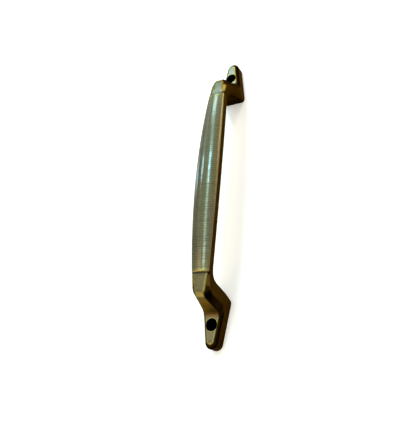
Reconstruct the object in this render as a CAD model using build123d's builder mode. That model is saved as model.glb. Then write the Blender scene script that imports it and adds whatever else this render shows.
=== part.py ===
"""Bow-shaped pull handle for a shutter door, cast in one piece and fixed with one screw through each foot.

Frame: X runs along the handle, Y across it and Z out from the door.
The origin is on the door face, midway between the two screw holes.
"""

import os
from math import asin, atan2, cos, hypot, sin

from build123d import *

# Driving dimensions, in millimetres

# screw holes, and the foot's length either side of the hole
hole_spacing = 128.0
hole_diameter = 5.3
hole_edge_break = 0.2
toe_overhang = 10.1
heel_offset = 12.0

# foot: a flange on the door with a narrower drafted tongue on top
heel_width = 12.0
toe_radius = 3.1
flange_thickness = 5.1
tongue_rise = 1.4
tongue_ledge = 0.25
tongue_inset = 1.4
tongue_toe_inset = 2.0
tongue_edge_radius = 0.3

# neck and leg, along the handle: the leg's front from the hole's centre, then each place from the one named
leg_front_offset = 4.7
leg_run = 4.7
neck_length = 9.8
side_bend_setback = 2.6
back_corner_lead = 1.9

# neck and leg, in section
neck_fall = 1.1
neck_side_width = 8.3
neck_facet_inset = 1.15
bend_facet_inset = 2.4
leg_foot_flat_width = 6.8
side_bend_drop = 1.0
bend_radius = 3.5
facet_bend_radius = 2.0
facet_edge_radius = 0.35
foot_blend_radius = 2.0
back_corner_radius = 7.0
flare_radius = 6.0
flare_drop = 1.25

# grip: a bowed bar, widest in the middle, with a crowned front that steps down to the necks
finger_clearance = 18.1
grip_depth = 5.6
grip_width = 11.4
back_bow = 1.75
crown_bow = 2.9
crown_radius = 12.0
step_height = 0.7
grip_edge_radius = 0.6
back_edge_radius = 0.9

# how far the neck runs on inside the grip, how far its front reaches under the step,
# and how far it drops there to a tenon, deep enough to clear the facets
neck_overlap = 6.0
neck_tuck = 1.0
tenon_drop = 1.8
# stock left below the door face until the back edges are rounded, then cut off flat
base_stock = 2.0

# Sizes worked out from the driving dimensions

hole_x = hole_spacing / 2
toe_x = hole_x + toe_overhang
heel_x = hole_x - heel_offset
leg_front_x = hole_x - leg_front_offset
neck_end_x = leg_front_x - leg_run
side_bend_x = neck_end_x - side_bend_setback
grip_end_x = neck_end_x - neck_length
back_corner_x = grip_end_x + back_corner_lead
neck_start_x = grip_end_x - neck_overlap
tuck_x = grip_end_x - neck_tuck

foot_height = flange_thickness + tongue_rise
crown_height = finger_clearance + grip_depth
neck_top = crown_height - crown_bow - step_height
neck_end_height = neck_top - neck_fall
tuck_height = neck_top + neck_tuck * neck_fall / (neck_end_x - grip_end_x)
neck_flat_width = neck_side_width - 2 * neck_facet_inset
bend_flat_width = neck_side_width - 2 * bend_facet_inset

# radii of the two long bows, from half their length and the rise
crown_bow_radius = (grip_end_x**2 + crown_bow**2) / (2 * crown_bow)
back_bow_radius = (neck_start_x**2 + back_bow**2) / (2 * back_bow)
# past its arched part, the back runs on straight along the tangent as far as the leg
back_slope = neck_start_x / (back_bow_radius - back_bow)
neck_start_back = finger_clearance - back_bow
grip_end_back = neck_start_back - back_slope * neck_overlap
back_corner_height = neck_start_back - back_slope * (back_corner_x - neck_start_x)
flare_top = back_corner_height - flare_drop
stock_x = heel_x + base_stock * (heel_x - back_corner_x) / back_corner_height

# corners of the flat facets either side of the neck and leg
neck_corner = (grip_end_x, neck_flat_width / 2, neck_top)
bend_corner = (neck_end_x, bend_flat_width / 2, neck_end_height)
foot_corner = (leg_front_x, leg_foot_flat_width / 2, foot_height)
side_bend = (side_bend_x, neck_side_width / 2, neck_end_height - side_bend_drop)
# reach of the block that the facets' corner is cut from, further than any point of the leg
facet_stock = toe_x + crown_height


def toe_tangent(corner_x, corner_y, centre_x, radius):
    """Point where a straight side from the corner runs tangent into a round toe."""
    reach = hypot(centre_x - corner_x, corner_y)
    slant = atan2(corner_y, centre_x - corner_x) - asin(radius / reach)
    return centre_x + radius * sin(slant), radius * cos(slant)


flange_tangent = toe_tangent(heel_x, heel_width / 2, toe_x - toe_radius, toe_radius)
flange_taper = (heel_width / 2 - flange_tangent[1]) / (flange_tangent[0] - heel_x)


def foot_outline(start_x, side_inset, toe_inset):
    """Plan of the foot from start_x to the toe, drawn in from the flange's edge."""
    radius = toe_radius - side_inset
    start_y = heel_width / 2 - flange_taper * (start_x - heel_x) - side_inset
    tip_x = toe_x - toe_inset
    tangent_x, tangent_y = toe_tangent(start_x, start_y, tip_x - radius, radius)
    with BuildLine() as outline:
        Line((start_x, -start_y), (start_x, start_y))
        Line((start_x, start_y), (tangent_x, tangent_y))
        ThreePointArc((tangent_x, tangent_y), (tip_x, 0), (tangent_x, -tangent_y))
        Line((tangent_x, -tangent_y), (start_x, -start_y))
    return outline.line


def leg_outline():
    """Side view of the neck and leg, from inside the grip's end down past the door face."""
    blend_end_x = leg_front_x + foot_blend_radius
    with BuildLine() as outline:
        FilletPolyline(
            (neck_start_x, tuck_height - tenon_drop),
            (tuck_x, tuck_height - tenon_drop),
            (tuck_x, tuck_height),
            (neck_end_x, neck_end_height),
            (leg_front_x, foot_height),
            (blend_end_x, foot_height),
            (blend_end_x, -base_stock),
            (stock_x, -base_stock),
            (back_corner_x, back_corner_height),
            (neck_start_x, neck_start_back),
            radius=[0, 0, 0, bend_radius, foot_blend_radius, 0, 0, 0, back_corner_radius, 0],
            close=True,
        )
    return outline.line


def facet_sketch(side):
    """Two facets seen along the line where they meet, that corner rounded, and the stock behind them."""
    corner, low, neck, foot = (
        Vector(x, side * y, z) for x, y, z in (bend_corner, side_bend, neck_corner, foot_corner)
    )
    bend_line = (low - corner).normalized()
    up_neck = (neck - corner) - bend_line * (neck - corner).dot(bend_line)
    down_leg = (foot - corner) - bend_line * (foot - corner).dot(bend_line)
    plane = Plane(origin=corner, x_dir=up_neck, z_dir=bend_line)
    fold = atan2(down_leg.dot(plane.y_dir), down_leg.dot(plane.x_dir))
    with BuildSketch(plane) as facets:
        with BuildLine():
            FilletPolyline(
                (0, 0),
                (facet_stock, 0),
                (facet_stock * cos(fold / 2), facet_stock * sin(fold / 2)),
                (facet_stock * cos(fold), facet_stock * sin(fold)),
                radius=[facet_bend_radius, 0, 0, 0],
                close=True,
            )
        make_face()
    return facets.sketch


def shared_edges(first, second):
    """Edges where a face of the first list meets a face of the second."""
    others = second.edges()
    return [edge for edge in first.edges() if any(edge.is_same(other) for other in others)]


def faces_behind(part):
    """Faces that look back towards the door."""
    return part.faces().filter_by(lambda face: face.normal_at().Z < -0.05 and face.center().Z > 0)


def faces_beside(part):
    """Faces that look out sideways."""
    return part.faces().filter_by(lambda face: abs(face.normal_at().Y) > 0.9)


def faces_in_front(part):
    """Faces that look forwards or along the handle, and not sideways."""
    return part.faces().filter_by(lambda face: abs(face.normal_at().Y) < 0.1 and face.normal_at().Z > 0.3)


def faces_slanted(part):
    """Slanted facets between the front and the sides."""
    return part.faces().filter_by(lambda face: 0.2 < abs(face.normal_at().Y) < 0.9 and face.normal_at().Z > 0.2)


# Grip: side view, plan and crown meet in one bowed bar

with BuildPart() as grip:
    with BuildSketch(Plane.XZ):
        with BuildLine():
            back = ThreePointArc(
                (-neck_start_x, neck_start_back), (0, finger_clearance), (neck_start_x, neck_start_back)
            )
            Polyline(
                back @ 1,
                (grip_end_x, grip_end_back),
                (grip_end_x, crown_height),
                (-grip_end_x, crown_height),
                (-grip_end_x, grip_end_back),
                back @ 0,
            )
        make_face()
        # the rounded corners behind the legs start under the grip's ends
        with BuildLine():
            add(leg_outline())
        make_face()
        mirror(about=Plane.YZ)
        Rectangle(2 * grip_end_x, 2 * crown_height, mode=Mode.INTERSECT)
    extrude(amount=grip_width, both=True)
    with BuildSketch():
        with BuildLine():
            right = ThreePointArc(
                (-grip_end_x, neck_side_width / 2), (0, grip_width / 2), (grip_end_x, neck_side_width / 2)
            )
            left = ThreePointArc(
                (-grip_end_x, -neck_side_width / 2), (0, -grip_width / 2), (grip_end_x, -neck_side_width / 2)
            )
            Line(right @ 1, left @ 1)
            Line(right @ 0, left @ 0)
        make_face()
    extrude(amount=crown_height, mode=Mode.INTERSECT)
    with BuildSketch(Plane.YZ):
        with Locations((0, crown_height - crown_radius)):
            Circle(crown_radius)
    revolve(axis=Axis((0, 0, crown_height - crown_bow_radius), (0, 1, 0)), mode=Mode.INTERSECT)
    fillet(grip.faces().filter_by(GeomType.TORUS).edges(), grip_edge_radius)
    fillet(shared_edges(faces_behind(grip), faces_beside(grip)), back_edge_radius)

# Neck and leg: side view, end view and plan meet, then flat facets trim the front edges

with BuildPart() as leg:
    with BuildSketch(Plane.XZ):
        with BuildLine():
            add(leg_outline())
        make_face()
    extrude(amount=heel_width, both=True)
    # end view: straight sides at the neck, flaring down the leg to the heel
    with BuildSketch(Plane.YZ):
        with BuildLine():
            FilletPolyline(
                (-heel_width / 2, -base_stock),
                (heel_width / 2, -base_stock),
                (heel_width / 2, flange_thickness),
                (neck_side_width / 2, flare_top),
                (neck_side_width / 2, crown_height),
                (-neck_side_width / 2, crown_height),
                (-neck_side_width / 2, flare_top),
                (-heel_width / 2, flange_thickness),
                radius=[0, 0, flare_radius, flare_radius, 0, 0, flare_radius, flare_radius],
                close=True,
            )
        make_face()
    extrude(amount=toe_x, mode=Mode.INTERSECT)
    fillet(shared_edges(faces_behind(leg), faces_beside(leg)), back_edge_radius)
    split(bisect_by=Plane.XY, keep=Keep.TOP)
    # plan: the foot's tapered sides carried on under the leg
    with BuildSketch():
        with BuildLine():
            add(foot_outline(neck_start_x, 0, 0))
        make_face()
    extrude(amount=crown_height, mode=Mode.INTERSECT)
    for side in (1, -1):
        extrude(facet_sketch(side), amount=facet_stock, both=True, mode=Mode.INTERSECT)
    fillet(shared_edges(faces_in_front(leg), faces_slanted(leg)), facet_edge_radius)
    fillet(shared_edges(faces_beside(leg), faces_slanted(leg)), facet_edge_radius)

# Foot: flange on the door, and the drafted tongue that carries the screw

with BuildPart() as foot:
    foot_start_x = (heel_x + leg_front_x) / 2
    with BuildSketch():
        with BuildLine():
            add(foot_outline(foot_start_x, 0, 0))
        make_face()
    extrude(amount=flange_thickness)
    with BuildSketch(Plane.XY.offset(flange_thickness)):
        with BuildLine():
            add(foot_outline(foot_start_x, tongue_ledge, tongue_ledge))
        make_face()
    with BuildSketch(Plane.XY.offset(foot_height)):
        with BuildLine():
            add(foot_outline(foot_start_x, tongue_inset, tongue_toe_inset))
        make_face()
    loft(ruled=True)
    tongue_edges = foot.faces().sort_by(Axis.Z)[-1].edges().sort_by(Axis.X)
    fillet(tongue_edges[1:], tongue_edge_radius)

# Handle: the grip with a leg and foot at each end, and the two screw holes

with BuildPart() as end:
    add(leg.part)
    add(foot.part)

with BuildPart() as handle:
    add(grip.part)
    add(end.part)
    add(mirror(end.part, about=Plane.YZ, mode=Mode.PRIVATE))
    with Locations((hole_x, 0, foot_height), (-hole_x, 0, foot_height)):
        CounterSinkHole(hole_diameter / 2, hole_diameter / 2 + hole_edge_break, depth=foot_height)

os.makedirs("parts", exist_ok=True)
handle.part.label = "shutter_handle"
export_step(handle.part, "parts/shutter_handle.step")
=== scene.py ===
from math import asin, atan2, cos, hypot, pi, radians, sin

import bpy
import bmesh
import numpy as np
from mathutils import Matrix, Vector


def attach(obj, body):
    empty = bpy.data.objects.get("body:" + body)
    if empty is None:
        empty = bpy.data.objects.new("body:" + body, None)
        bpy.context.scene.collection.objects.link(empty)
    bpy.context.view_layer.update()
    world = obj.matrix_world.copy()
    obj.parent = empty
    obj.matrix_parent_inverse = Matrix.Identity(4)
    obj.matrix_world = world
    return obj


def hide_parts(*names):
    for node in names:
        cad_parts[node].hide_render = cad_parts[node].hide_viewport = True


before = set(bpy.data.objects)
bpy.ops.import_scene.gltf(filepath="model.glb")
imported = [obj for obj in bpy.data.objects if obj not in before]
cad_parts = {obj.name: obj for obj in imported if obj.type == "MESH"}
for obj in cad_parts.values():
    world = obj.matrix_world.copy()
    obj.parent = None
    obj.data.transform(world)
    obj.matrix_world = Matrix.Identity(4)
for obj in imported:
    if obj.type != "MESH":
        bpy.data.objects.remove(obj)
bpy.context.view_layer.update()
scene = bpy.context.scene
scene.view_settings.view_transform = "Standard"

mm = 0.001  # sizes are in millimetres unless a note says otherwise, the scene is in metres


def hexColour(text):
    # sRGB hex to linear RGBA: undo the display curve channel by channel
    part = np.array([int(text[i:i + 2], 16) for i in (1, 3, 5)]) / 255
    linear = np.where(part <= 0.04045, part / 12.92, ((part + 0.055) / 1.055) ** 2.4)
    return (*linear.tolist(), 1.0)


def smoothMax(a, b, cut):
    # larger of two distances, with the corner between them taken down by cut: a convex edge is rounded
    reach = 4 * cut
    return np.maximum(a, b) + np.maximum(reach - np.abs(a - b), 0) ** 2 / (4 * reach)


def smoothMin(a, b, fill):
    # smaller of two distances, with the corner between them filled by fill: an inside corner is blended
    return -smoothMax(-a, -b, fill)


def pastLine(u, v, start, end):
    # signed distance of (u, v) from the line, positive to the left of the way from start to end
    du, dv = end[0] - start[0], end[1] - start[1]
    return (du * (v - start[1]) - dv * (u - start[0])) / hypot(du, dv)


def pastPlane(x, y, z, points):
    # signed distance from the plane through three points, positive on the side away from the door
    a, b, c = (np.array(p) for p in points)
    normal = np.cross(b - a, c - a)
    normal = normal * np.sign(normal[2]) / np.linalg.norm(normal)
    return (x - a[0]) * normal[0] + (y - a[1]) * normal[1] + (z - a[2]) * normal[2]


def ramp(low, high, value):
    # 0 at low, 1 at high, an S curve between
    t = np.clip((value - low) / (high - low), 0, 1)
    return t * t * (3 - 2 * t)


# Handle casting

handle = {
    "holeX": 64.0, "holeRadius": 2.65, "holeBreak": 0.2,
    "toeX": 74.08, "heelX": 52.0, "heelHalf": 5.99, "toeRadius": 3.1,
    "flangeTop": 5.1, "footTop": 6.5, "ledge": 0.25, "sideInset": 1.4, "toeInset": 2.0,
    "gripEndX": 44.8, "neckEndX": 54.6, "legFrontX": 59.3, "sideBendX": 52.0, "backCornerX": 46.7,
    "neckStartX": 38.8, "neckTop": 20.1, "neckEndZ": 19.0, "sideBendZ": 18.0,
    "neckFlatHalf": 3.35, "bendFlatHalf": 1.75, "footFlatHalf": 3.4, "neckHalf": 4.15,
    "crownZ": 23.68, "crownBow": 2.9, "crownRadius": 12.0, "gripHalf": 5.7,
    "backZ": 18.1, "backBow": 1.75, "flareDrop": 1.25,
    # how much each corner is taken down or filled
    "gripEdgeCut": 0.15, "backEdgeCut": 0.26, "heelEdgeCut": 0.6, "facetEdgeCut": 0.1,
    "facetBendCut": 0.22, "bendCut": 0.5, "backCornerFill": 1.2, "footFill": 0.42, "ledgeFill": 0.1,
    "flareCut": 0.05, "tongueEdgeCut": 0.1, "flangeEdgeCut": 0.14, "baseEdgeCut": 0.06, "stepFill": 0.06,
    # heights between which the corners behind the leg grow rounder towards the door
    "heelRoundFrom": 12.0, "heelRoundTo": 3.0,
    # share of a level distance to the drafted tongue that is taken as the true one
    "draftShare": 0.8,
    # facets round each screw hole, and how far its drill reaches past the rim and below the foot
    "holeFacets": 72, "drillLead": 1.2, "drillBelow": 1.0,
    # edges that turn by more degrees than this are shaded sharp
    "sharpTurn": 38.0,
}
rings = {
    "around": 168, "grip": 52, "step": 30, "leg": 120, "foot": 40, "toe": 34,
    # how far the closer rings run before and after the end of the grip, and past the leg onto the foot
    "stepBefore": 1.2, "stepAfter": 0.5, "footAfter": 2.2,
    # rays leave the middle of a section, drawn out to an ellipse that roughly fills it:
    # place along the handle, height of the middle, half height of the ellipse
    "sections": [
        (0.0, 20.6, 2.8), (44.8, 18.1, 2.6), (46.5, 17.0, 3.0), (50.0, 12.6, 6.9), (52.3, 9.9, 9.6),
        (54.0, 9.6, 9.5), (56.7, 6.4, 6.4), (59.3, 3.3, 3.3), (61.5, 3.2, 3.2), (75.0, 3.2, 3.2)],
    # place along the handle, half width of the ellipse
    "widths": [(0.0, 5.6), (44.8, 4.1), (52.3, 5.9), (74.1, 3.0)],
    # rays end at this many times the ellipse, and the way is halved this often
    "farthest": 3.0, "halvings": 44,
}
joinWithin = 1e-6  # metres: points closer than this become one
thinEdge = 1e-7  # metres: edges shorter than this are dissolved


def castingForms(x, y, z):
    # signed distances, negative inside, to the forms whose meeting makes the casting
    h = handle
    absX, absY = np.abs(x), np.abs(y)
    form = {}
    # grip: a torus crown over a lens-shaped plan
    bowRadius = (h["gripEndX"] ** 2 + h["crownBow"] ** 2) / (2 * h["crownBow"])
    ringRadius = bowRadius - h["crownRadius"]
    form["crown"] = np.hypot(np.hypot(x, z - h["crownZ"] + bowRadius) - ringRadius, y) - h["crownRadius"]
    lensRise = h["gripHalf"] - h["neckHalf"]
    lensRadius = (h["gripEndX"] ** 2 + lensRise ** 2) / (2 * lensRise)
    form["gripSide"] = np.hypot(x, absY + lensRadius - h["gripHalf"]) - lensRadius
    form["gripEnd"] = absX - h["gripEndX"]
    # back: a shallow arch, then straight, then down the leg to the heel
    archRadius = (h["neckStartX"] ** 2 + h["backBow"] ** 2) / (2 * h["backBow"])
    slope = h["neckStartX"] / (archRadius - h["backBow"])
    straightZ = h["backZ"] - h["backBow"]
    cornerZ = straightZ - slope * (h["backCornerX"] - h["neckStartX"])
    arch = archRadius - np.hypot(x, z - h["backZ"] + archRadius)
    straight = -pastLine(absX, z, (h["neckStartX"], straightZ), (h["backCornerX"], cornerZ))
    form["gripBack"] = np.where(absX < h["neckStartX"], arch, straight)
    form["legBack"] = -pastLine(absX, z, (h["backCornerX"], cornerZ), (h["heelX"], 0))
    form["back"] = smoothMin(form["gripBack"], form["legBack"], h["backCornerFill"])
    # neck and leg, seen from the side and then from the end
    form["neckFront"] = pastLine(absX, z, (h["gripEndX"], h["neckTop"]), (h["neckEndX"], h["neckEndZ"]))
    form["legFront"] = pastLine(absX, z, (h["neckEndX"], h["neckEndZ"]), (h["legFrontX"], h["footTop"]))
    flareZ = cornerZ - h["flareDrop"]
    flare = pastLine(-absY, -z, (-h["neckHalf"], -flareZ), (-h["heelHalf"], -h["flangeTop"]))
    flare = smoothMax(flare, absY - h["heelHalf"], h["flareCut"])
    form["legSide"] = smoothMin(absY - h["neckHalf"], flare, h["flareCut"])
    # flat facets between front and sides, above and below the bend
    bend = (h["neckEndX"], h["bendFlatHalf"], h["neckEndZ"])
    sideBend = (h["sideBendX"], h["neckHalf"], h["sideBendZ"])
    neckCorner = (h["gripEndX"], h["neckFlatHalf"], h["neckTop"])
    footCorner = (h["legFrontX"], h["footFlatHalf"], h["footTop"])
    form["neckFacet"] = pastPlane(absX, absY, z, (neckCorner, bend, sideBend))
    form["legFacet"] = pastPlane(absX, absY, z, (bend, footCorner, sideBend))
    # foot: straight tapering sides run tangent into a round toe, the tongue on top is drafted
    centreX = h["toeX"] - h["toeRadius"]
    run = hypot(centreX - h["heelX"], h["heelHalf"])
    slant = atan2(h["heelHalf"], centreX - h["heelX"]) - asin(h["toeRadius"] / run)

    def footPlan(side, toe):
        # distance from the toe's circle past the point of tangency, and from the straight side before it
        fromX = absX - (centreX + side - toe)
        pastTangent = fromX * cos(slant) - absY * sin(slant) > 0
        fromCentre = np.where(pastTangent, np.hypot(fromX, absY), fromX * sin(slant) + absY * cos(slant))
        return fromCentre - h["toeRadius"] + side

    draft = (z - h["flangeTop"]) / (h["footTop"] - h["flangeTop"])
    tongueSide = h["ledge"] + (h["sideInset"] - h["ledge"]) * draft
    tongueToe = h["ledge"] + (h["toeInset"] - h["ledge"]) * draft
    form["plan"] = np.maximum(footPlan(0, 0), absY - h["heelHalf"])
    form["tongue"] = h["draftShare"] * footPlan(tongueSide, tongueToe)
    form["flange"] = z - h["flangeTop"]
    form["flat"] = z - h["footTop"]
    return form


def casting(x, y, z):
    # one distance for the whole solid: unions and intersections of the forms, corner by corner
    h = handle
    form = castingForms(x, y, z)
    grip = smoothMax(form["crown"], form["gripSide"], h["gripEdgeCut"])
    grip = smoothMax(grip, form["gripEnd"], h["gripEdgeCut"])
    front = smoothMax(form["neckFront"], form["legFront"], h["bendCut"])
    facets = smoothMax(form["neckFacet"], form["legFacet"], h["facetBendCut"])
    leg = smoothMax(smoothMax(front, facets, h["facetEdgeCut"]), form["legSide"], h["facetEdgeCut"])
    leg = np.maximum(leg, h["neckStartX"] - np.abs(x))
    tongue = smoothMax(form["tongue"], form["flat"], h["tongueEdgeCut"])
    foot = smoothMin(form["flange"], tongue, h["ledgeFill"])
    end = smoothMax(smoothMin(leg, foot, h["footFill"]), form["plan"], h["flangeEdgeCut"])
    whole = smoothMin(grip, end, h["stepFill"])
    heelward = ramp(h["heelRoundFrom"], h["heelRoundTo"], z)
    backCut = h["backEdgeCut"] + (h["heelEdgeCut"] - h["backEdgeCut"]) * heelward
    whole = smoothMax(whole, form["back"], backCut)
    return smoothMax(whole, -z, h["baseEdgeCut"])


def castingStations():
    # distances along the handle from its middle to the toe, close together where the form turns
    h, r = handle, rings
    stepLow, stepHigh = h["gripEndX"] - r["stepBefore"], h["gripEndX"] + r["stepAfter"]
    footLow, toeLow = h["legFrontX"] + r["footAfter"], h["toeX"] - h["toeRadius"]
    sweep = np.linspace(0, 0.5 * pi, r["toe"] + 1)[:-1]
    return np.concatenate([
        np.linspace(0, stepLow, r["grip"], endpoint=False),
        np.linspace(stepLow, stepHigh, r["step"], endpoint=False),
        np.linspace(stepHigh, footLow, r["leg"], endpoint=False),
        np.linspace(footLow, toeLow, r["foot"], endpoint=False),
        toeLow + h["toeRadius"] * np.sin(sweep),
    ])


def castingSkin():
    # for every station and every angle around it, the point where a ray from the section's middle
    # leaves the solid, found by halving the part of the ray that holds it
    r = rings
    along = castingStations()
    sectionX, middleZ, halfTall = zip(*r["sections"])
    widthX, halfWide = zip(*r["widths"])
    turn = np.linspace(0, 2 * pi, r["around"], endpoint=False)
    startZ = np.interp(along, sectionX, middleZ)[:, None]
    rayY = np.interp(along, widthX, halfWide)[:, None] * np.cos(turn)
    rayZ = np.interp(along, sectionX, halfTall)[:, None] * np.sin(turn)
    stationX = along[:, None] + 0 * rayY
    near, far = np.zeros_like(rayY), np.full_like(rayY, r["farthest"])
    for halving in range(r["halvings"]):
        reach = 0.5 * (near + far)
        outside = casting(stationX, rayY * reach, startZ + rayZ * reach) > 0
        near, far = np.where(outside, near, reach), np.where(outside, reach, far)
    half = np.stack([stationX, rayY * near, startZ + rayZ * near], axis=-1)
    tip = half[-1:] * [0, 0, 1] + [handle["toeX"], 0, 0]  # last ring folded flat onto the middle of the toe
    half = np.concatenate([half, tip])
    return np.concatenate([half[:0:-1] * [-1, 1, 1], half])  # the other end is the mirror image


def ringFaces(count, around):
    # quads between neighbouring rings, each ring closed on itself
    ring, step = np.meshgrid(np.arange(count - 1), np.arange(around), indexing="ij")
    after = (step + 1) % around
    quads = np.stack([ring * around + step, ring * around + after,
                      (ring + 1) * around + after, (ring + 1) * around + step], axis=-1)
    return quads.reshape(-1, 4)


def meshObject(name, points, faces):
    mesh = bpy.data.meshes.new(name)
    mesh.from_pydata((points.reshape(-1, 3) * mm).tolist(), [], faces.tolist())
    work = bmesh.new()
    work.from_mesh(mesh)
    bmesh.ops.remove_doubles(work, verts=work.verts, dist=joinWithin)
    bmesh.ops.dissolve_degenerate(work, edges=work.edges, dist=thinEdge)
    bmesh.ops.recalc_face_normals(work, faces=work.faces)
    work.to_mesh(mesh)
    work.free()
    piece = bpy.data.objects.new(name, mesh)
    scene.collection.objects.link(piece)
    return piece


def holeCutter(centreX):
    # profile of the drill turned about the screw's axis, opening out in a cone at the rim
    h = handle
    coneZ = h["footTop"] - h["holeBreak"]
    topRadius, topZ = h["holeRadius"] + h["drillLead"], coneZ + h["drillLead"]
    profile = np.array([
        [0, -h["drillBelow"]], [h["holeRadius"], -h["drillBelow"]], [h["holeRadius"], coneZ],
        [topRadius, topZ], [0, topZ]])
    radius, height = profile[:, :1], profile[:, 1:]
    # half a step round, clear of the skin's middle line
    turn = (np.arange(h["holeFacets"]) + 0.5) * 2 * pi / h["holeFacets"]
    points = np.stack([centreX + radius * np.cos(turn), radius * np.sin(turn), height + 0 * turn], axis=-1)
    return meshObject("drill", points, ringFaces(len(profile), h["holeFacets"]))


skinPoints = castingSkin()
skin = meshObject("shutter_handle_skin", skinPoints, ringFaces(skinPoints.shape[0], skinPoints.shape[1]))
print("skin", len(skin.data.vertices), "points")
drills = [holeCutter(side * handle["holeX"]) for side in (-1, 1)]
for drill in drills:
    cutting = skin.modifiers.new("screw hole", "BOOLEAN")
    cutting.operation = "DIFFERENCE"
    cutting.solver = "EXACT"
    cutting.object = drill
bpy.context.view_layer.update()
drilled = bpy.data.meshes.new_from_object(skin.evaluated_get(bpy.context.evaluated_depsgraph_get()))
skin.modifiers.clear()
skin.data = drilled
skin.data.name = "shutter_handle_skin"
for drill in drills:
    bpy.data.objects.remove(drill)
skin.data.shade_smooth()
skin.data.set_sharp_from_angle(angle=radians(handle["sharpTurn"]))
print("drilled", len(skin.data.polygons), "faces")

# Wear, painted highlights and painted shade: a pair is where a mask starts and where it is full.
# X is along the handle, Z is out from the door, Depth is off a form, and Lean and Tilt are the normal's
# shares across and along the handle.
wearAndPaintedLight = {
    "onGripDepth": (0.05, -0.05), "touchDepth": (-0.42, -0.06),
    # front faces off the grip, and how much of them is rubbed at each height of the leg
    "frontLean": (0.42, 0.2), "frontZ": (6.25, 6.45), "legX": (61.5, 58.5), "footX": (59.0, 61.0),
    "legRub": [(6.5, 0.27), (8.0, 0.31), (13.0, 0.41), (17.0, 0.75), (19.2, 1.0)],
    # middles of the neck's facets, rubbed and worn with a painted highlight, less of both at one end of the
    # handle
    "facetStartX": (45.4, 47.0), "facetEndX": (51.2, 49.6), "facetLean": (0.25, 0.4),
    "facetRub": 0.42, "facetWornGlint": 0.28, "facetOtherEnd": 0.45,
    # edges of the grip, worn and partly painted highlight: one side brighter than the other and less at one
    # end, and one end brighter than the other
    "sideDepth": (-0.95, -0.35), "sideWornGlint": 0.3, "otherSideWornGlint": 0.05,
    "sideLessX": (-2.0, -22.0), "sideLess": 0.2,
    "endDepth": (-1.6, -0.5), "endWornGlint": 0.5, "otherEndWornGlint": 0.3, "hazeDepth": (-9.0, -2.0), "hazeWorn": 0.1,
    # edges of the bend, the neck, the tongue and the screw holes: worn, with painted highlights on the bend,
    # the neck's edges and the holes' rims
    "bendTilt": (0.15, 0.35), "bendTiltOver": (0.9, 0.72), "bendZ": (14.0, 16.0), "bendHighlightShare": 0.4,
    "neckWornGlint": 0.55, "otherNeckWornGlint": 0.3,
    "tongueZ": (6.2, 6.45), "tongueDepth": (-0.6, 0.0), "tongueX": (60.0, 62.0), "tongueWorn": 0.75,
    "holeX": (56.0, 58.0), "rimZ": (6.2, 6.4), "rimDepth": (0.42, 0.1),
    # lacquer: thick on the grip but for its edges, thinner on the neck and the foot
    "edgeLacquerLost": 0.5, "neckLacquer": 0.5, "neckLacquerZ": (18.9, 19.5), "footLacquer": 0.85,
    # painted shade over the blackening: under the grip's end, the facets beside the leg by height,
    # round the tongue, bore and back
    "stepDepth": (1.1, 0.15), "stepZ": (18.4, 19.2), "coveLean": (0.3, 0.55),
    "coveDark": [(5.5, 0.0), (7.0, 0.7), (9.0, 0.55), (13.5, 0.8), (16.0, 1.0), (18.3, 0.95)],
    "grooveTopZ": (6.35, 5.7), "grooveFootZ": (4.5, 5.05), "grooveDepth": (-1.3, -0.5),
    "grooveX": (57.0, 60.0), "grooveDark": 0.85,
    "boreDepth": (0.08, 0.02), "boreZ": (6.48, 6.32), "backDepth": (-0.9, -0.15), "backDark": 0.85,
}


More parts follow.
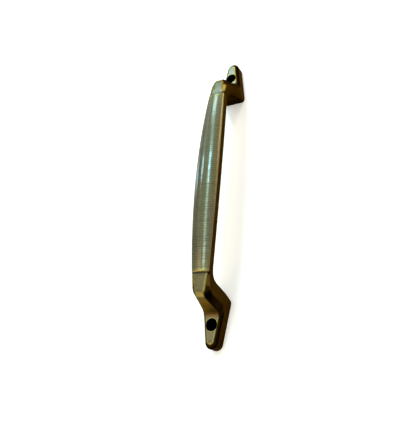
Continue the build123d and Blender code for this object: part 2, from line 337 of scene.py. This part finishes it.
def finishMasks(piece):
    # how far each point is rubbed back to the brass, worn bright or given a painted highlight on an edge,
    # left dark in a recess by blackening and painted shade, or lacquered thickly
    h, w = handle, wearAndPaintedLight
    count = len(piece.data.vertices)
    place, normal = np.zeros(count * 3, np.float32), np.zeros(count * 3, np.float32)
    piece.data.vertices.foreach_get("co", place)
    piece.data.vertex_normals.foreach_get("vector", normal)
    x, y, z = (place.reshape(-1, 3).astype(float) / mm).T
    tilt, lean = np.abs(normal.reshape(-1, 3)[:, :2]).T
    absX = np.abs(x)
    form = castingForms(x, y, z)

    def fade(name, value):
        return ramp(*w[name], value)

    touching = {name: fade("touchDepth", depth) for name, depth in form.items()}
    fromHole = np.hypot(absX - h["holeX"], y) - h["holeRadius"]
    onGrip = fade("onGripDepth", form["gripEnd"])
    offGrip = 1 - onGrip
    dome = onGrip * touching["crown"]
    # rubbed: the grip's crown, the neck, the leg less and less on the way down, and the foot's flat
    facing = offGrip * fade("frontLean", lean) * fade("frontZ", z)
    onLeg = np.interp(z, *zip(*w["legRub"])) * fade("legX", absX)
    onFoot = fade("footX", absX)
    facetMiddle = offGrip * touching["neckFacet"] * fade("facetStartX", absX) * fade("facetEndX", absX)
    facetMiddle = facetMiddle * fade("facetLean", lean) * np.where(x < 0, w["facetOtherEnd"], 1.0)
    rubbed = np.maximum.reduce([dome, facing * np.maximum(onLeg, onFoot), w["facetRub"] * facetMiddle])
    # worn and glint: the edges that hands and cloths reach, with painted highlights on one side and end of
    # the grip, on the bend, the neck's edges, the facets at one end and the screw holes' rims
    # the grip's edges: wear, with painted highlight on one side and at one end, less towards one end of that
    # side
    sideWornGlint = np.where(y > 0, w["otherSideWornGlint"], w["sideWornGlint"] - w["sideLess"] * fade("sideLessX", x))
    endWornGlint = np.where(x > 0, w["otherEndWornGlint"], w["endWornGlint"]) * fade("endDepth", form["gripEnd"])
    endWornGlint = endWornGlint + w["hazeWorn"] * fade("hazeDepth", form["gripEnd"])
    gripEdge = dome * np.maximum(sideWornGlint * fade("sideDepth", form["gripSide"]), endWornGlint)
    # painted highlight along the bend of the neck's front
    bendHighlight = w["bendHighlightShare"] * facing * fade("bendTilt", tilt) * fade("bendTiltOver", tilt) * fade("bendZ", z)
    # the neck's edges: wear, with a painted highlight stronger at one end
    neckWornGlint = np.where(x > 0, w["otherNeckWornGlint"], w["neckWornGlint"])
    neckEdge = neckWornGlint * offGrip * touching["neckFront"] * touching["neckFacet"]
    tongueEdge = w["tongueWorn"] * fade("tongueZ", z) * fade("tongueDepth", form["tongue"])
    tongueEdge = tongueEdge * fade("tongueX", absX)
    # painted highlight round the top of each screw hole
    rimHighlight = fade("rimDepth", fromHole) * fade("rimZ", z) * fade("holeX", absX)
    # the facets' middles: wear with a painted highlight
    facetWornGlint = w["facetWornGlint"] * facetMiddle
    wornAndGlint = np.maximum.reduce([gripEdge, neckEdge, bendHighlight, facetWornGlint, tongueEdge, rimHighlight])
    frontLacquer = np.maximum(w["neckLacquer"] * fade("neckLacquerZ", z), w["footLacquer"] * onFoot)
    lacquer = np.maximum(dome * (1 - w["edgeLacquerLost"] * gripEdge), facing * frontLacquer)
    # blackening and shade: blackening never rubbed off, deepened to near black as painted shade under the
    # grip's end, in the cove beside the leg, round the tongue, down the bore and along the back
    step = offGrip * fade("stepDepth", form["gripEnd"]) * fade("stepZ", z)
    legCove = offGrip * touching["legFacet"] * fade("coveLean", lean) * np.interp(z, *zip(*w["coveDark"]))
    groove = fade("grooveTopZ", z) * fade("grooveFootZ", z) * fade("grooveDepth", form["plan"])
    groove = w["grooveDark"] * groove * fade("grooveX", absX)
    bore = fade("boreDepth", fromHole) * fade("boreZ", z) * fade("holeX", absX)
    backEdge = w["backDark"] * offGrip * fade("backDepth", form["back"])
    blackeningAndShade = np.maximum.reduce([step, legCove, groove, bore, backEdge])
    masks = {"rubbed": rubbed, "brushed": dome, "wornAndGlint": wornAndGlint, "blackeningAndShade": blackeningAndShade, "lacquer": lacquer}
    for name, values in masks.items():
        layer = piece.data.attributes.new(name, "FLOAT", "POINT")
        layer.data.foreach_set("value", values.astype(np.float32))


finishMasks(skin)
print("masks painted")

# Finish: cast brass, blackened chemically, rubbed back with abrasive across the raised faces and lacquered.
# The eye sees dark brown in the sides and hollows, near black in the deepest of them as painted shade, dull
# greenish gold with fine cross lines on top, and bright edges, partly worn and partly painted highlights.
brass = {
    "patina": "#38250a", "patinaDeep": "#251603", "bronze": "#6a4e1d", "rubbed": "#787352",
    "rubbedGrey": "#434237", "wornAndGlint": "#d4c468", "blackeningAndShade": "#090400", "edgeTint": "#c8bca8",
    # sizes in mm: the real lines are about 0.1 mm apart, drawn coarser so that they show
    "brushLine": 0.8, "lineSpacing": 1.1, "lineDepth": 0.03, "cloud": 9.0, "speck": 1.1,
    # patterns: finer detail, its strength, how drawn out the lines are and how far the waves wander
    "cloudDetail": 4.0, "cloudRough": 0.6, "speckDetail": 3.0, "speckRough": 0.65, "lineDetail": 3.0,
    "lineRough": 0.7, "lineStretch": 0.06, "waveWander": 2.5, "waveDetail": 2.0, "waveDetailScale": 1.5,
    # pattern values taken as none and as full
    "patternLow": 0.3, "patternHigh": 0.7, "toneLow": 0.15, "toneHigh": 0.85,
    "coatLow": 0.32, "coatHigh": 0.62,
    # shares: waves among the lines, specks in the rubbed brass, the least rub, wear and coat
    "waveShare": 0.3, "speckShare": 0.45, "leastRub": 0.86, "leastWear": 0.3, "leastCoat": 0.2,
    "bronzeAt": 0.5,  # how far the rubbing has gone where all is bronze
    "dents": 2.8, "bump": 0.5, "coatRoughness": 0.09, "coatIor": 1.7,
    "smoothest": 0.42, "roughest": 0.56, "recessDull": 0.3, "wornPolish": 0.2,
}


def addNode(tree, kind, settings=None, inputs=None):
    # one node with its settings and its inputs: a socket is linked, anything else is set
    node = tree.nodes.new(kind)
    for key, value in (settings or {}).items():
        setattr(node, key, value)
    for key, value in (inputs or {}).items():
        if isinstance(value, bpy.types.NodeSocket):
            tree.links.new(value, node.inputs[key])
        else:
            node.inputs[key].default_value = value
    return node


def antiqueBrass():
    b = brass
    colours = {name: hexColour(value) for name, value in b.items() if isinstance(value, str)}
    material = bpy.data.materials.new("antique_brass_rubbed_lacquered")
    material.use_nodes = True
    tree = material.node_tree
    tree.nodes.clear()
    # sockets of a colour mix: 0 factor, 6 and 7 the colours, output 2
    # sockets of a number mix: 0 factor, 2 and 3 the numbers, output 0
    blend, between = {"data_type": "RGBA"}, {"data_type": "FLOAT"}
    times, plus, minus = ({"operation": name, "use_clamp": True} for name in ("MULTIPLY", "ADD", "SUBTRACT"))
    pattern = {"From Min": b["patternLow"], "From Max": b["patternHigh"]}
    place = addNode(tree, "ShaderNodeTexCoord").outputs["Object"]
    rubbedMask, brushedMask, wornGlintMask, blackeningShadeMask, lacquerMask = (
        addNode(tree, "ShaderNodeAttribute", {"attribute_name": name}).outputs["Fac"]
        for name in ("rubbed", "brushed", "wornAndGlint", "blackeningAndShade", "lacquer"))

    # patterns: soft clouds in the blackening, fine specks, and lines left by the abrasive across the handle
    cloud = addNode(tree, "ShaderNodeTexNoise", None, {
        "Vector": place, "Scale": 1 / (b["cloud"] * mm),
        "Detail": b["cloudDetail"], "Roughness": b["cloudRough"]}).outputs["Fac"]
    speck = addNode(tree, "ShaderNodeTexNoise", None, {
        "Vector": place, "Scale": 1 / (b["speck"] * mm),
        "Detail": b["speckDetail"], "Roughness": b["speckRough"]}).outputs["Fac"]
    across = addNode(tree, "ShaderNodeMapping", None, {
        "Vector": place, "Scale": (1.0, b["lineStretch"], b["lineStretch"])}).outputs["Vector"]
    scratches = addNode(tree, "ShaderNodeTexNoise", None, {
        "Vector": across, "Scale": 1 / (b["brushLine"] * mm),
        "Detail": b["lineDetail"], "Roughness": b["lineRough"]}).outputs["Fac"]
    wavePeriod = pi / 10  # of a wave pattern at scale 1
    waves = addNode(tree, "ShaderNodeTexWave", {"wave_type": "BANDS", "bands_direction": "X"}, {
        "Vector": across, "Scale": wavePeriod / (b["lineSpacing"] * mm), "Distortion": b["waveWander"],
        "Detail": b["waveDetail"], "Detail Scale": b["waveDetailScale"]}).outputs["Fac"]
    waveShare = addNode(tree, "ShaderNodeMath", times, {0: brushedMask, 1: b["waveShare"]}).outputs[0]
    lines = addNode(tree, "ShaderNodeMix", between, {0: waveShare, 2: scratches, 3: waves}).outputs[0]

    # colour: blackened brass, through bronze to rubbed brass, bright where worn and where highlights are
    # painted, black in the recesses as painted shade over the blackening
    cloudy = addNode(tree, "ShaderNodeMapRange", None, {"Value": cloud, **pattern}).outputs["Result"]
    patina = addNode(tree, "ShaderNodeMix", blend, {
        0: cloudy, 6: colours["patinaDeep"], 7: colours["patina"]}).outputs[2]
    lineTone = addNode(tree, "ShaderNodeMapRange", None, {
        "Value": lines, "From Min": b["toneLow"], "From Max": b["toneHigh"]}).outputs["Result"]
    rubbed = addNode(tree, "ShaderNodeMix", blend, {
        0: lineTone, 6: colours["rubbedGrey"], 7: colours["rubbed"]}).outputs[2]
    pits = addNode(tree, "ShaderNodeMapRange", None, {
        "Value": speck, **pattern, "To Max": b["speckShare"]}).outputs["Result"]
    rubbed = addNode(tree, "ShaderNodeMix", blend, {0: pits, 6: rubbed, 7: colours["patina"]}).outputs[2]
    rubShare = addNode(tree, "ShaderNodeMapRange", None, {
        "Value": cloud, **pattern, "To Min": b["leastRub"]}).outputs["Result"]
    rubShare = addNode(tree, "ShaderNodeMath", times, {0: rubbedMask, 1: rubShare}).outputs[0]
    toBronze = addNode(tree, "ShaderNodeMapRange", None, {
        "Value": rubShare, "From Max": b["bronzeAt"]}).outputs["Result"]
    toBrass = addNode(tree, "ShaderNodeMapRange", None, {
        "Value": rubShare, "From Min": b["bronzeAt"]}).outputs["Result"]
    colour = addNode(tree, "ShaderNodeMix", blend, {0: toBronze, 6: patina, 7: colours["bronze"]}).outputs[2]
    colour = addNode(tree, "ShaderNodeMix", blend, {0: toBrass, 6: colour, 7: rubbed}).outputs[2]
    # bright brass on worn edges and as painted highlight
    wearShare = addNode(tree, "ShaderNodeMapRange", None, {
        "Value": speck, **pattern, "To Min": b["leastWear"]}).outputs["Result"]
    wearShare = addNode(tree, "ShaderNodeMath", times, {0: wornGlintMask, 1: wearShare}).outputs[0]
    colour = addNode(tree, "ShaderNodeMix", blend, {0: wearShare, 6: colour, 7: colours["wornAndGlint"]}).outputs[2]
    # near black in the hollows: blackening deepened as painted shade
    colour = addNode(tree, "ShaderNodeMix", blend, {
        0: blackeningShadeMask, 6: colour, 7: colours["blackeningAndShade"]}).outputs[2]

    # surface: rougher along the lines and in the recesses, smoother where hands have polished it
    roughness = addNode(tree, "ShaderNodeMapRange", None, {
        "Value": lines, **pattern, "To Min": b["smoothest"], "To Max": b["roughest"]}).outputs["Result"]
    dull = addNode(tree, "ShaderNodeMath", times, {0: blackeningShadeMask, 1: b["recessDull"]}).outputs[0]
    roughness = addNode(tree, "ShaderNodeMath", plus, {0: roughness, 1: dull}).outputs[0]
    polish = addNode(tree, "ShaderNodeMath", times, {0: wornGlintMask, 1: b["wornPolish"]}).outputs[0]
    roughness = addNode(tree, "ShaderNodeMath", minus, {0: roughness, 1: polish}).outputs[0]
    dents = addNode(tree, "ShaderNodeMath", {"operation": "MULTIPLY"}, {0: speck, 1: b["dents"]}).outputs[0]
    height = addNode(tree, "ShaderNodeMath", {"operation": "ADD"}, {0: lines, 1: dents}).outputs[0]
    height = addNode(tree, "ShaderNodeMath", {"operation": "MULTIPLY"}, {0: height, 1: rubbedMask}).outputs[0]
    bump = addNode(tree, "ShaderNodeBump", None, {
        "Strength": b["bump"], "Distance": b["lineDepth"] * mm, "Height": height}).outputs["Normal"]
    # the lacquer lies thinner over the lines, which breaks its shine into short dashes
    coat = addNode(tree, "ShaderNodeMapRange", None, {
        "Value": lines, "From Min": b["coatLow"], "From Max": b["coatHigh"],
        "To Min": b["leastCoat"]}).outputs["Result"]
    coat = addNode(tree, "ShaderNodeMath", times, {0: lacquerMask, 1: coat}).outputs[0]
    shader = addNode(tree, "ShaderNodeBsdfPrincipled", None, {
        "Base Color": colour, "Metallic": 1.0, "Roughness": roughness, "Normal": bump,
        "Specular Tint": colours["edgeTint"], "Coat Weight": coat, "Coat Roughness": b["coatRoughness"],
        "Coat IOR": b["coatIor"], "Coat Normal": bump})
    addNode(tree, "ShaderNodeOutputMaterial", None, {"Surface": shader.outputs["BSDF"]})
    return material


skin.data.materials.clear()
skin.data.materials.append(antiqueBrass())
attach(skin, "root")
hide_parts("shutter_handle")
print("finish applied")

# Studio

studio = {
    # paper sheet: flat round the handle, then a cove up to a low wall
    "floorColour": "#ffffff", "paperRoughness": 0.9,
    "flatRadius": 2000.0, "coveRadius": 700.0, "wallTop": 850.0, "coveSteps": 16, "around": 96,
    # how far the paper is lifted to white for the eye, near the handle and at the wall, and between
    # which distances that grows
    "floorLift": 0.3, "wallLift": 0.7, "liftFrom": 600.0, "liftTo": 2600.0,
    "worldColour": "#ffffff", "worldLevel": 0.45,
    "holeShadeColour": "#0c0a08", "holeShadeRadius": 3.0,  # painted shade: a near-black disc on the paper under each screw hole, seen only down the holes
    # each lamp is a soft panel from one point to another, in metres: width, radiance where white paper is 1,
    # colour
    "lamps": {
        "overhead": ((-1.0, -0.1, 1.5), (0.6, -0.1, 1.5), 1.2, 0.30, "#fff0d4"),
        "farSky": ((1.5, -0.2, 1.10), (1.5, 1.3, 1.10), 1.0, 0.18, "#c8ecf4"),
        "stripNear": ((-0.03, 0.18, 1.00), (0.40, 0.155, 0.83), 0.15, 5.70, "#ccffee"),
        "stripEnd": ((-0.06, 0.182, 1.01), (0.12, 0.170, 0.95), 0.14, 1.50, "#d0fff4"),
        "stripFar": ((0.40, 0.155, 0.83), (0.82, 0.32, 0.60), 0.12, 3.60, "#c4f4f4"),
        "stripCore": ((0.385, 0.162, 0.81), (0.50, 0.18, 0.75), 0.09, 24.00, "#a8f0ff"),
        "sideNear": ((0.03, 0.611, 0.81), (0.415, 0.631, 0.674), 0.20, 0.60, "#e6f0e0"),
        "sideFar": ((0.494, 0.662, 0.594), (0.752, 0.602, 0.381), 0.16, 1.44, "#c8f0f0"),
        "windowHigh": ((0.455, 0.579, 0.550), (0.410, 0.590, 0.567), 0.08, 38.00, "#a8ecff"),
        "windowLow": ((0.415, 0.76, 0.28), (0.38, 0.785, 0.245), 0.09, 18.00, "#a8ecff"),
        "nearPanel": ((-0.32, 0.42, 0.90), (0.12, 0.49, 0.87), 0.20, 2.40, "#ffe4a0"),
        "bendPanel": ((-0.36, 0.50, 0.80), (-0.85, 0.50, 0.28), 0.25, 2.40, "#ffe4a0"),
        "farPanel": ((0.79, 0.35, 0.56), (0.79, 0.47, 0.56), 0.12, 2.60, "#cfeee6"),
        "footPanel": ((0.226, 0.065, 0.176), (0.226, 0.12, 0.176), 0.05, 9.40, "#c8f4f0"),
        "rightPanel": ((0.69, -0.60, 0.65), (0.69, -0.25, 0.65), 0.35, 3.90, "#fff0cc"),
        "rightLow": ((0.88, -0.40, 0.48), (0.88, -0.26, 0.48), 0.14, 36.00, "#ffeab8"),
        "edgePanel": ((0.82, 0.0, 0.52), (0.82, 0.1, 0.52), 0.10, 6.00, "#e6fff4"),
    },
}


def whitePaper():
    # matt white paper: the eye sees an even white ground without shine, with the handle's soft shadow on it,
    # and a near-black disc of painted shade under each screw hole
    s = studio
    material = bpy.data.materials.new("matt_white_paper")
    material.use_nodes = True
    tree = material.node_tree
    tree.nodes.clear()
    times, larger = {"operation": "MULTIPLY"}, {"operation": "MAXIMUM"}
    place = addNode(tree, "ShaderNodeTexCoord").outputs["Object"]
    mirrored = addNode(tree, "ShaderNodeVectorMath", {"operation": "ABSOLUTE"}, {0: place}).outputs["Vector"]
    # painted shade: a near-black disc on the paper under each screw hole, seen down the hole and not lifted
    # to white
    fromScrew = addNode(tree, "ShaderNodeVectorMath", {"operation": "DISTANCE"}, {
        0: mirrored, 1: (handle["holeX"] * mm, 0, 0)}).outputs["Value"]
    clearOfHoleShade = addNode(tree, "ShaderNodeMath", {"operation": "GREATER_THAN"}, {
        0: fromScrew, 1: s["holeShadeRadius"] * mm}).outputs[0]
    tone = addNode(tree, "ShaderNodeMix", {"data_type": "RGBA"}, {
        0: clearOfHoleShade, 6: hexColour(s["holeShadeColour"]), 7: hexColour(s["floorColour"])}).outputs[2]
    # the lift to white is for the eye and for reflections, and adds no light to the handle's own shading
    ray = addNode(tree, "ShaderNodeLightPath").outputs
    seen = addNode(tree, "ShaderNodeMath", larger, {
        0: ray["Is Camera Ray"], 1: ray["Is Glossy Ray"]}).outputs[0]
    seen = addNode(tree, "ShaderNodeMath", larger, {0: seen, 1: ray["Is Transmission Ray"]}).outputs[0]
    lift = addNode(tree, "ShaderNodeMath", times, {0: seen, 1: clearOfHoleShade}).outputs[0]
    away = addNode(tree, "ShaderNodeVectorMath", {"operation": "LENGTH"}, {0: place}).outputs["Value"]
    strength = addNode(tree, "ShaderNodeMapRange", None, {
        "Value": away, "From Min": s["liftFrom"] * mm, "From Max": s["liftTo"] * mm,
        "To Min": s["floorLift"], "To Max": s["wallLift"]}).outputs["Result"]
    lift = addNode(tree, "ShaderNodeMath", times, {0: lift, 1: strength}).outputs[0]
    sheet = addNode(tree, "ShaderNodeBsdfPrincipled", None, {
        "Base Color": tone, "Roughness": s["paperRoughness"], "Specular IOR Level": 0.0,
        "Emission Color": hexColour(s["floorColour"]), "Emission Strength": lift})
    addNode(tree, "ShaderNodeOutputMaterial", None, {"Surface": sheet.outputs["BSDF"]})
    return material


def buildSheet():
    # profile of the sheet turned about the upright axis: flat, quarter circle, straight up
    s = studio
    rise = np.linspace(0, 0.5 * pi, s["coveSteps"])
    wallRadius = s["flatRadius"] + s["coveRadius"]
    radius = np.concatenate([[0], s["flatRadius"] + s["coveRadius"] * np.sin(rise), [wallRadius]])[:, None]
    height = np.concatenate([[0], s["coveRadius"] * (1 - np.cos(rise)), [s["wallTop"]]])[:, None]
    turn = np.linspace(0, 2 * pi, s["around"], endpoint=False)
    points = np.stack([radius * np.cos(turn), radius * np.sin(turn), height + 0 * turn], axis=-1)
    floor = meshObject("floor", points, ringFaces(len(radius), s["around"]))
    floor.data.shade_smooth()
    floor.data.materials.append(whitePaper())


def buildLight():
    s = studio
    world = bpy.data.worlds.new("studio")
    scene.world = world
    world.use_nodes = True
    sky = world.node_tree.nodes["Background"]
    sky.inputs["Color"].default_value = hexColour(s["worldColour"])
    sky.inputs["Strength"].default_value = s["worldLevel"]
    for name, (start, end, width, radiance, colour) in s["lamps"].items():
        start, end = Vector(start), Vector(end)
        place, length = (start + end) / 2, (end - start).length
        lampData = bpy.data.lights.new(name, "AREA")
        lampData.shape = "RECTANGLE"
        lampData.size, lampData.size_y = length, width
        lampData.energy = radiance * pi * length * width
        lampData.color = hexColour(colour)[:3]
        lamp = bpy.data.objects.new(name, lampData)
        # a lamp shines down its own -Z, here towards the handle
        across = place.cross(end - start).normalized()
        behind = (end - start).cross(across).normalized()
        axes = Matrix(((end - start).normalized(), across, behind)).transposed().to_4x4()
        lamp.matrix_world = Matrix.Translation(place) @ axes
        scene.collection.objects.link(lamp)


buildSheet()
buildLight()
print("studio ready")

# Camera, from the fit of the part's outline to the photograph: eye and nearest distance in metres

view = {
    "eye": (-0.09959, -0.09966, 0.19012), "forward": (0.387, 0.462, -0.798), "right": (0.083, -0.880, -0.468),
    "focalPixels": 487.1, "imageWidth": 416, "imageHeight": 421, "sensor": 36.0, "nearest": 0.005,
}


def buildCamera():
    v = view
    forward = Vector(v["forward"]).normalized()
    right = Vector(v["right"])
    right = (right - forward * right.dot(forward)).normalized()
    up = right.cross(forward)
    lensData = bpy.data.cameras.new("camera")
    lensData.sensor_width = v["sensor"]
    lensData.lens = v["focalPixels"] * v["sensor"] / max(v["imageWidth"], v["imageHeight"])
    lensData.clip_start = v["nearest"]
    camera = bpy.data.objects.new("camera", lensData)
    axes = Matrix((right, up, -forward)).transposed().to_4x4()
    camera.matrix_world = Matrix.Translation(v["eye"]) @ axes
    scene.collection.objects.link(camera)
    scene.camera = camera


buildCamera()
print("camera ready")

bpy.context.view_layer.update()
